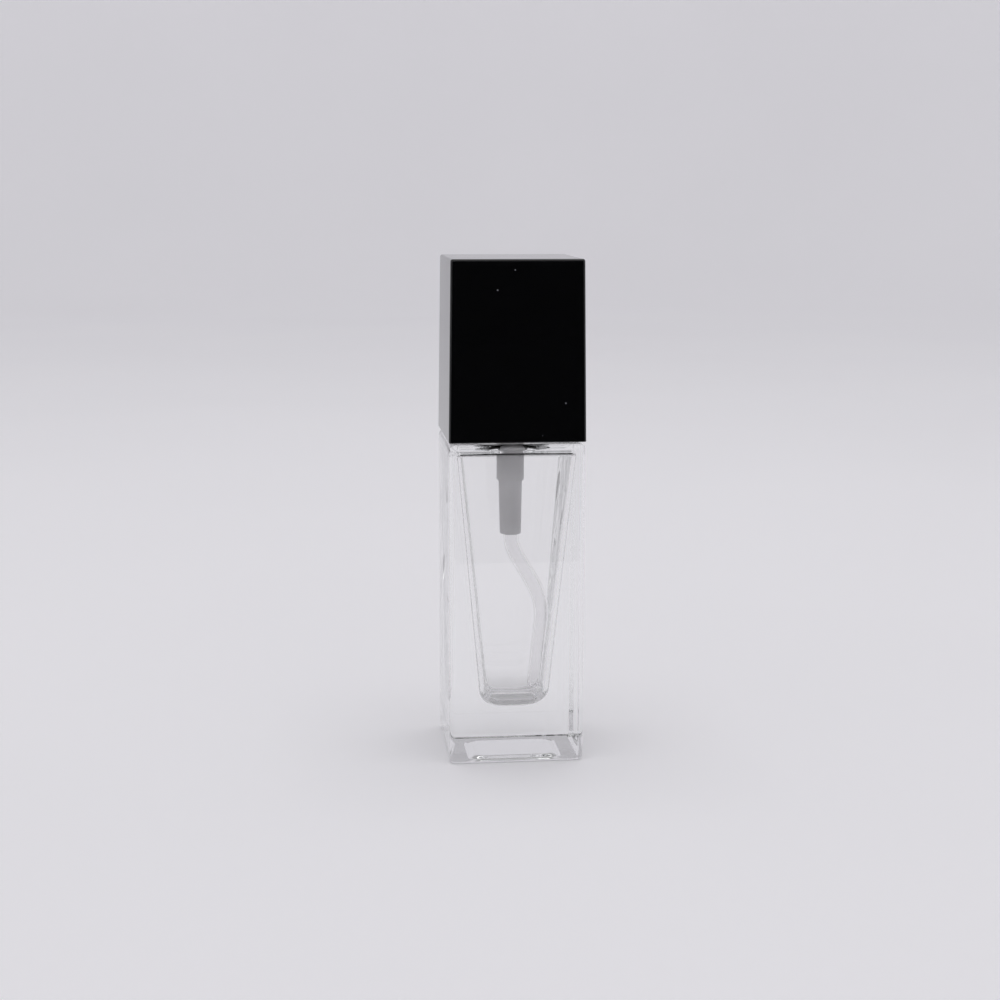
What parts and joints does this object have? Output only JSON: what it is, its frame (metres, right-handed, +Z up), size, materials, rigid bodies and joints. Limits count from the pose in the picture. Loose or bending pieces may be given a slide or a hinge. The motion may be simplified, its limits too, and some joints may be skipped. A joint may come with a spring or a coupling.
{
  "type": "aftershave bottle",
  "caption": "Square clear-glass spray bottle with a thick base, a screw-on pump sprayer with a dip tube, and a square black overcap that lifts off.",
  "frame": {"origin": "centre of the bottle's foot, on the surface it stands on", "axes": "+Z up along the bottle and pump axis; the spray leaves the button towards -Y, the bottle's front panel"},
  "size_m": [0.032, 0.032, 0.1193],
  "materials": {
    "clear_glass": "fire polished, clear with a faint green edge tint",
    "cap_black": "high gloss",
    "liner_black": "satin",
    "collar_black": "gloss",
    "button_black": "gloss",
    "insert_white": "satin",
    "pump_white": "satin",
    "stem_white": "satin",
    "piston_white": "satin",
    "tube_clear": "translucent",
    "gasket_grey": "satin",
    "spring_steel": "bright drawn wire",
    "ball_steel": "polished"
  },
  "bodies": {
    "bottle": {"glass_bottle": "clear_glass"},
    "pump": {"pump_housing": "pump_white", "stem_guide": "stem_white", "gasket": "gasket_grey", "dip_tube": "tube_clear", "return_spring": "spring_steel"},
    "inlet_ball": {"valve_ball": "ball_steel"},
    "stem": {"pump_stem": "stem_white", "stem_tip": "stem_white"},
    "piston": {"pump_piston": "piston_white"},
    "collar": {"screw_collar": "collar_black"},
    "button": {"spray_button": "button_black", "spray_insert": "insert_white"},
    "cap": {"cap_shell": "cap_black", "cap_liner": "liner_black"}
  },
  "joints": [
    {"name": "pump_rise", "type": "slide", "parent": "bottle", "child": "pump", "axis": [0, 0, 1], "range_m": [0, 0.0048]},
    {"name": "collar_turn", "type": "hinge", "parent": "pump", "child": "collar", "pos_m": [0, 0, 0.085], "axis": [0, 0, 1], "range_deg": [0, 540]},
    {"name": "cap_lift", "type": "slide", "parent": "collar", "child": "cap", "axis": [0, 0, 1], "range_m": [0, 0.045]},
    {"name": "actuator_press", "type": "slide", "parent": "pump", "child": "stem", "axis": [0, 0, -1], "range_m": [0, 0.004], "stiffness_N_per_m": 1500, "springref_m": -0.002, "deforming": ["return_spring"]},
    {"name": "actuator_turn", "type": "hinge", "parent": "stem", "child": "button", "pos_m": [0, 0, 0.105], "axis": [0, 0, 1], "continuous": true},
    {"name": "piston_float", "type": "slide", "parent": "stem", "child": "piston", "axis": [0, 0, 1], "range_m": [0, 0.0006]},
    {"name": "ball_lift", "type": "slide", "parent": "pump", "child": "inlet_ball", "axis": [0, 0, 1], "range_m": [0, 0.0008]}
  ],
  "couplings": [
    {"joint": "collar_turn", "follows": "pump_rise", "rad_per_m": 1963.5}
  ]
}
